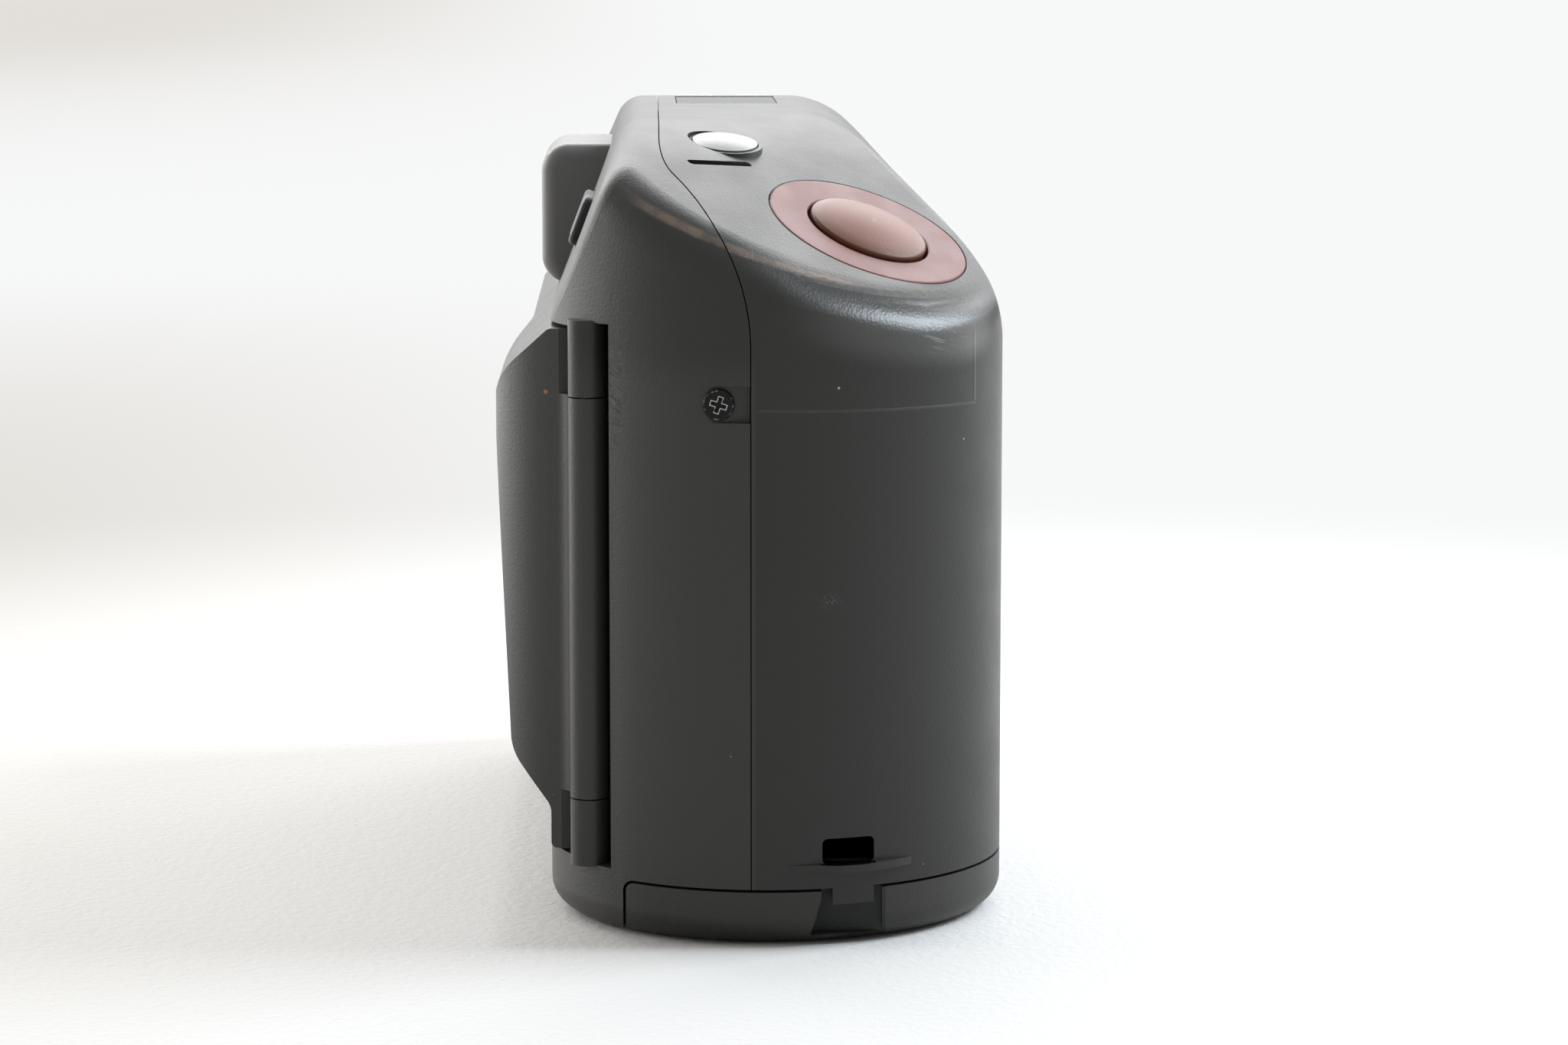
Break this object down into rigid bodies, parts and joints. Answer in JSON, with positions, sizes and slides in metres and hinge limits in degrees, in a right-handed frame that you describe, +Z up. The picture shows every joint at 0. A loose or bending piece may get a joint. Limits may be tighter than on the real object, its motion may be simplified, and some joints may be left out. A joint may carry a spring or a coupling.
{
  "type": "compact film camera",
  "caption": "Compact zoom film camera with grip, hinged back and battery doors, retracting lens barrel, sloped release button and rear eyepiece; film body and drive inside.",
  "frame": {"origin": "middle of the underside of the whole camera", "axes": "+X along the camera's length away from the grip, +Y to the back, +Z up; the lens looks along -Y"},
  "size_m": [0.13, 0.0568, 0.0865],
  "materials": {
    "grey_plastic": "satin with a fine mould texture",
    "black_plastic": "matt, moulded",
    "door_plastic": "satin with a fine mould texture",
    "rose_ring": "satin metallic tint",
    "rose_button": "satin metallic tint",
    "pale_silver": "satin silver",
    "black_metal": "blackened",
    "steel": "plain",
    "brass": "plain",
    "aluminium": "anodised",
    "lens_glass": "coated",
    "clear_window": "polished",
    "flash_clear": "ribbed",
    "lamp_red": "polished",
    "display_grey": "polished",
    "board_green": "solder resist",
    "cell_sleeve": "printed sleeve without print",
    "white_gear": "moulded"
  },
  "bodies": {
    "camera_body": {"front_cover": "grey_plastic", "rear_cover": "grey_plastic", "chassis": "black_plastic", "door_hinge_pin": "steel", "battery_hinge": "black_plastic", "battery_hinge_pin": "steel", "battery_cells": "cell_sleeve", "battery_holder": "black_plastic", "battery_contacts": "brass", "release_ring": "rose_ring", "release_guide": "black_plastic", "key_switches": "pale_silver", "top_board": "board_green", "display_window": "clear_window", "display_panel": "display_grey", "ready_lamps": "lamp_red", "eyepiece_block": "black_plastic", "eyepiece_lens": "lens_glass", "finder_tube": "black_plastic", "finder_lenses": "lens_glass", "finder_window": "clear_window", "focus_windows": "clear_window", "timer_lamp": "lamp_red", "flash_window": "flash_clear", "flash_reflector": "aluminium", "flash_tube": "flash_clear", "flash_capacitor": "cell_sleeve", "lens_ring": "black_plastic", "zoom_motor": "steel", "film_motor": "steel", "tripod_socket": "brass", "case_screws": "black_metal", "main_board": "board_green"},
    "back_door": {"film_door": "door_plastic", "film_window": "clear_window", "plate_spring": "brass"},
    "pressure_plate": {"pressure_plate": "black_metal"},
    "door_latch": {"door_latch": "black_plastic"},
    "battery_door": {"battery_door": "grey_plastic"},
    "battery_latch": {"battery_latch": "black_plastic"},
    "release_button": {"release_button": "rose_button"},
    "power_button": {"power_button": "pale_silver"},
    "flash_mode_button": {"flash_mode_button": "pale_silver"},
    "self_timer_button": {"self_timer_button": "pale_silver"},
    "rewind_button": {"rewind_button": "black_plastic"},
    "zoom_rocker": {"zoom_rocker": "black_plastic"},
    "outer_barrel": {"zoom_barrel_outer": "black_plastic"},
    "inner_barrel": {"zoom_barrel_inner": "black_plastic", "front_lens": "lens_glass", "rear_lens": "lens_glass", "shutter_unit": "black_metal"},
    "upper_blade": {"barrier_blade_upper": "black_metal"},
    "lower_blade": {"barrier_blade_lower": "black_metal"},
    "cam_ring": {"cam_ring": "white_gear"},
    "zoom_pinion": {"zoom_pinion": "brass"},
    "take_up_spool": {"take_up_spool": "black_plastic"},
    "motor_pinion": {"motor_pinion": "brass"},
    "idler_gear": {"idler_gear": "white_gear"},
    "sprocket": {"sprocket": "black_plastic"},
    "rewind_fork": {"rewind_fork": "white_gear"}
  },
  "joints": [
    {"name": "back_door_hinge", "type": "hinge", "parent": "camera_body", "child": "back_door", "pos_m": [-0.0536, 0.0181, 0.036], "axis": [0, 0, 1], "range_deg": [0, 110]},
    {"name": "pressure_plate_float", "type": "slide", "parent": "back_door", "child": "pressure_plate", "axis": [0, 1, 0], "range_m": [0, 0.00025], "stiffness_N_per_m": 400, "springref_m": -0.0005},
    {"name": "door_latch_slide", "type": "slide", "parent": "camera_body", "child": "door_latch", "axis": [0, 0, -1], "range_m": [0, 0.004]},
    {"name": "battery_door_hinge", "type": "hinge", "parent": "camera_body", "child": "battery_door", "pos_m": [-0.017, 0, 0.0017], "axis": [0, -1, 0], "range_deg": [0, 95]},
    {"name": "battery_latch_slide", "type": "slide", "parent": "battery_door", "child": "battery_latch", "axis": [1, 0, 0], "range_m": [0, 0.0018]},
    {"name": "release_press", "type": "slide", "parent": "camera_body", "child": "release_button", "axis": [0.3155, 0.3155, -0.8949], "range_m": [0, 0.0009], "stiffness_N_per_m": 1500, "springref_m": -0.0005},
    {"name": "power_press", "type": "slide", "parent": "camera_body", "child": "power_button", "axis": [0.225, 0.0849, -0.9707], "range_m": [0, 0.0004], "stiffness_N_per_m": 1500, "springref_m": -0.0005},
    {"name": "flash_mode_press", "type": "slide", "parent": "camera_body", "child": "flash_mode_button", "axis": [0, 0, -1], "range_m": [0, 0.0005], "stiffness_N_per_m": 1500, "springref_m": -0.0005},
    {"name": "self_timer_press", "type": "slide", "parent": "camera_body", "child": "self_timer_button", "axis": [0, 0, -1], "range_m": [0, 0.0005], "stiffness_N_per_m": 1500, "springref_m": -0.0005},
    {"name": "rewind_press", "type": "slide", "parent": "camera_body", "child": "rewind_button", "axis": [0, 0, 1], "range_m": [0, 0.0006], "stiffness_N_per_m": 1500, "springref_m": -0.0005},
    {"name": "zoom_rocker_tilt", "type": "hinge", "parent": "camera_body", "child": "zoom_rocker", "pos_m": [-0.024, 0.01584, 0.07394], "axis": [0, -0.3535, 0.9354], "range_deg": [-3.5, 3.5], "stiffness_Nm_per_rad": 0.3},
    {"name": "outer_barrel_slide", "type": "slide", "parent": "camera_body", "child": "outer_barrel", "axis": [0, -1, 0], "range_m": [0, 0.013]},
    {"name": "inner_barrel_slide", "type": "slide", "parent": "outer_barrel", "child": "inner_barrel", "axis": [0, -1, 0], "range_m": [0, 0.0121]},
    {"name": "upper_blade_slide", "type": "slide", "parent": "inner_barrel", "child": "upper_blade", "axis": [0, 0, 1], "range_m": [0, 0.005]},
    {"name": "lower_blade_slide", "type": "slide", "parent": "inner_barrel", "child": "lower_blade", "axis": [0, 0, -1], "range_m": [0, 0.0051]},
    {"name": "cam_ring_turn", "type": "hinge", "parent": "camera_body", "child": "cam_ring", "pos_m": [0.0035, -0.0131, 0.038], "axis": [0, 1, 0], "range_deg": [0, 48.5]},
    {"name": "zoom_pinion_turn", "type": "hinge", "parent": "camera_body", "child": "zoom_pinion", "pos_m": [0.01635, -0.0131, 0.01574], "axis": [0, 1, 0], "range_deg": [-337, 0]},
    {"name": "take_up_spool_turn", "type": "hinge", "parent": "camera_body", "child": "take_up_spool", "pos_m": [-0.037, 0.0124, 0.037], "axis": [0, 0, 1], "continuous": true},
    {"name": "idler_gear_turn", "type": "hinge", "parent": "camera_body", "child": "idler_gear", "pos_m": [-0.0327, 0.00495, 0.067], "axis": [0, 0, 1], "continuous": true},
    {"name": "motor_pinion_turn", "type": "hinge", "parent": "camera_body", "child": "motor_pinion", "pos_m": [-0.037, 0.0124, 0.06], "axis": [0, 0, 1], "continuous": true},
    {"name": "sprocket_turn", "type": "hinge", "parent": "camera_body", "child": "sprocket", "pos_m": [-0.0204, 0.0128, 0.038], "axis": [0, 0, 1], "continuous": true},
    {"name": "rewind_fork_turn", "type": "hinge", "parent": "camera_body", "child": "rewind_fork", "pos_m": [0.043, 0.007, 0.061], "axis": [0, 0, 1], "continuous": true}
  ],
  "couplings": [
    {"joint": "inner_barrel_slide", "follows": "outer_barrel_slide", "ratio": 0.92308},
    {"joint": "cam_ring_turn", "follows": "outer_barrel_slide", "rad_per_m": 64.443},
    {"joint": "zoom_pinion_turn", "follows": "outer_barrel_slide", "rad_per_m": -451.1},
    {"joint": "lower_blade_slide", "follows": "upper_blade_slide", "ratio": 1},
    {"joint": "idler_gear_turn", "follows": "take_up_spool_turn", "ratio": -1.8333},
    {"joint": "motor_pinion_turn", "follows": "take_up_spool_turn", "ratio": 5.9583}
  ]
}
